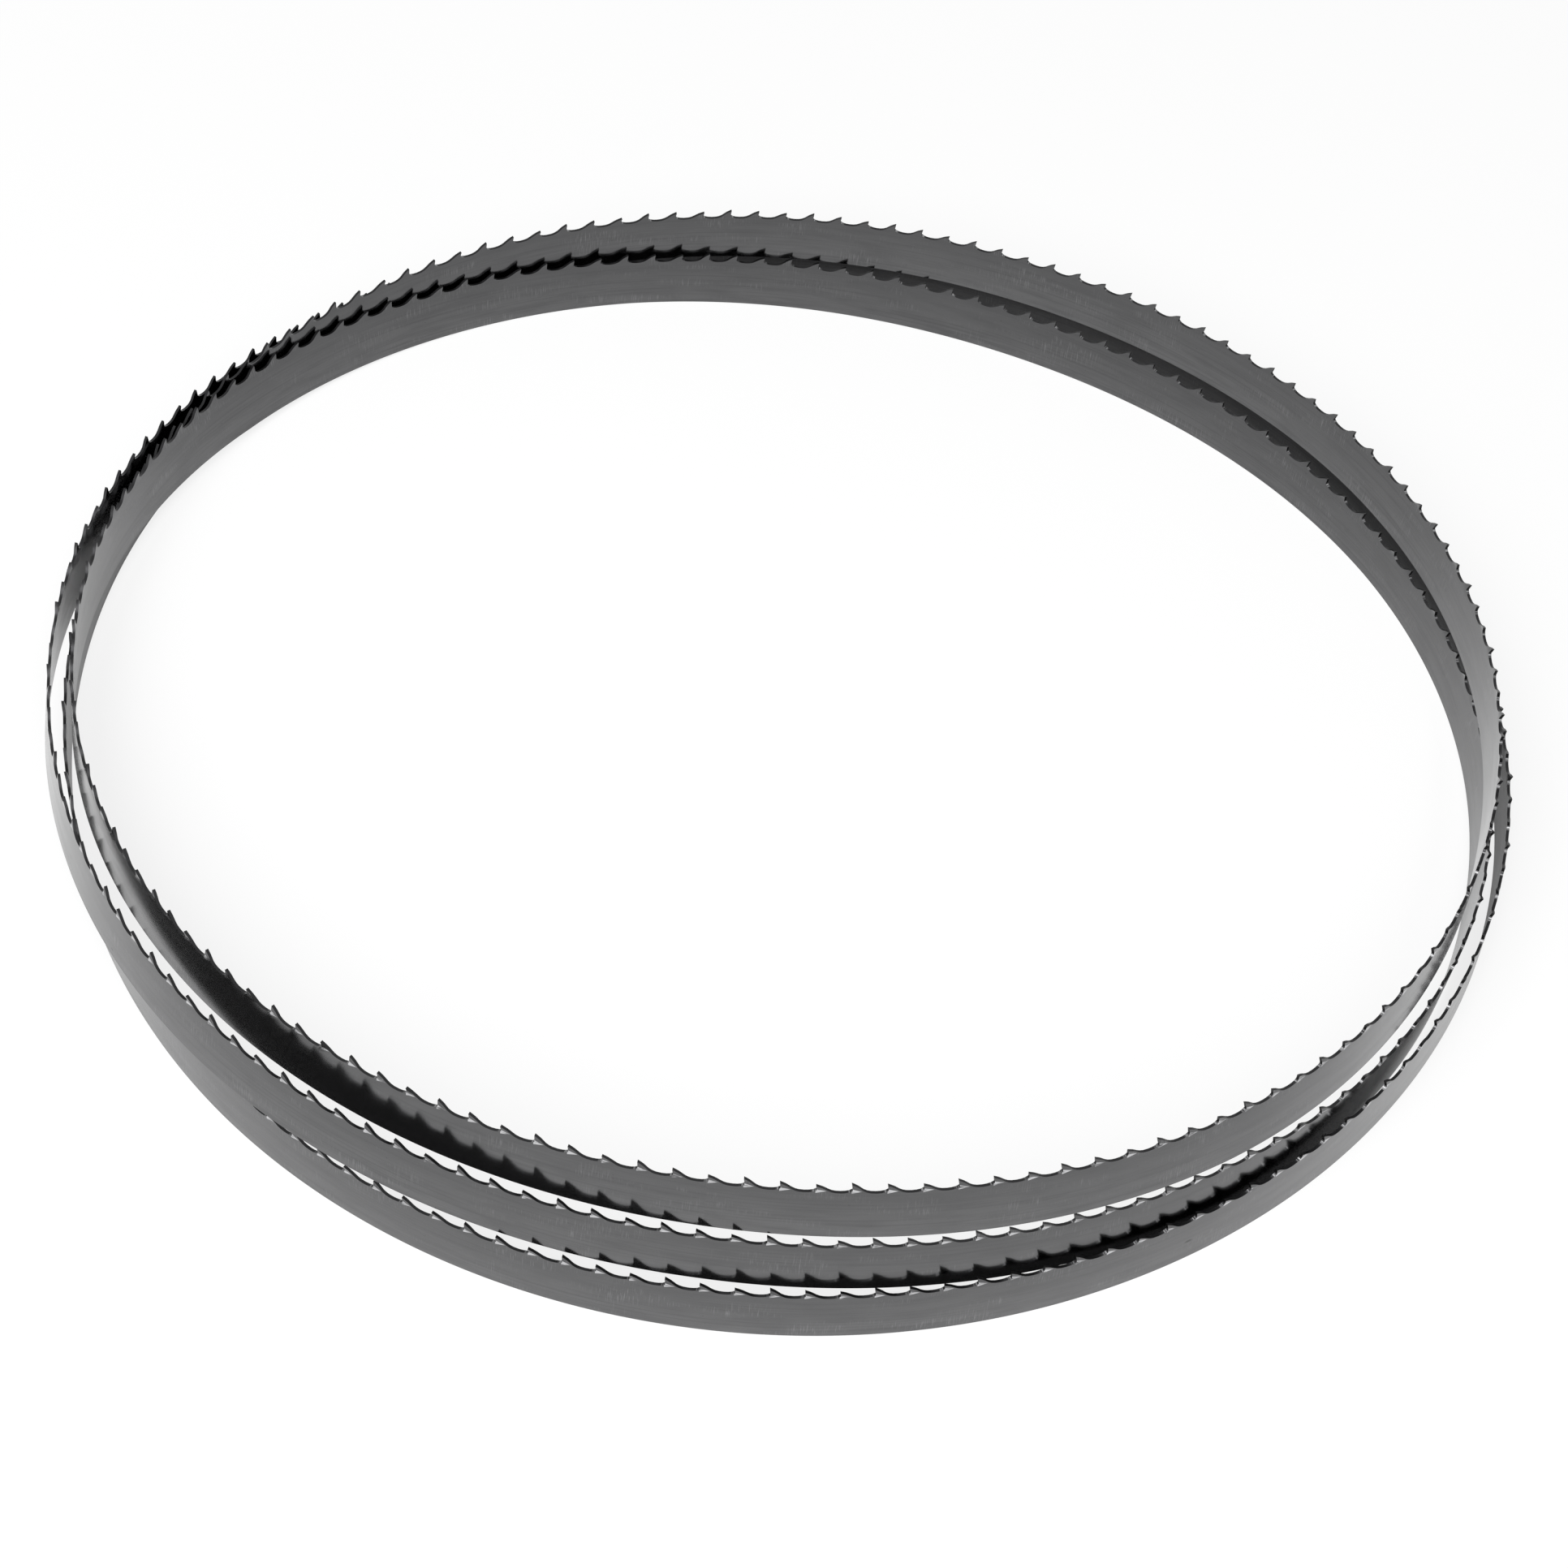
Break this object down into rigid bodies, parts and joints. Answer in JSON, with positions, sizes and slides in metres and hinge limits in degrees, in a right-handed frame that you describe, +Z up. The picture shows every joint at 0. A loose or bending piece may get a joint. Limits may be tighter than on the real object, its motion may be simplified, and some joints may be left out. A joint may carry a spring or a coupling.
{
  "type": "band saw blade",
  "caption": "Narrow toothed steel band welded into a loop and laid down as a loose coil of overlapping turns, with hook teeth set left, right and straight.",
  "frame": {"origin": "centre of the coil's box, on the floor it rests on", "axes": "+Z up, teeth upwards; -Y towards the front of the coil, where its turns stack; +X along the coil's widest measure"},
  "size_m": [0.4026, 0.3936, 0.0559],
  "materials": {
    "blade": "semi-gloss grey rolled steel strip with fine lengthwise lines"
  },
  "bodies": {
    "root": {"blade": "blade"}
  },
  "joints": []
}
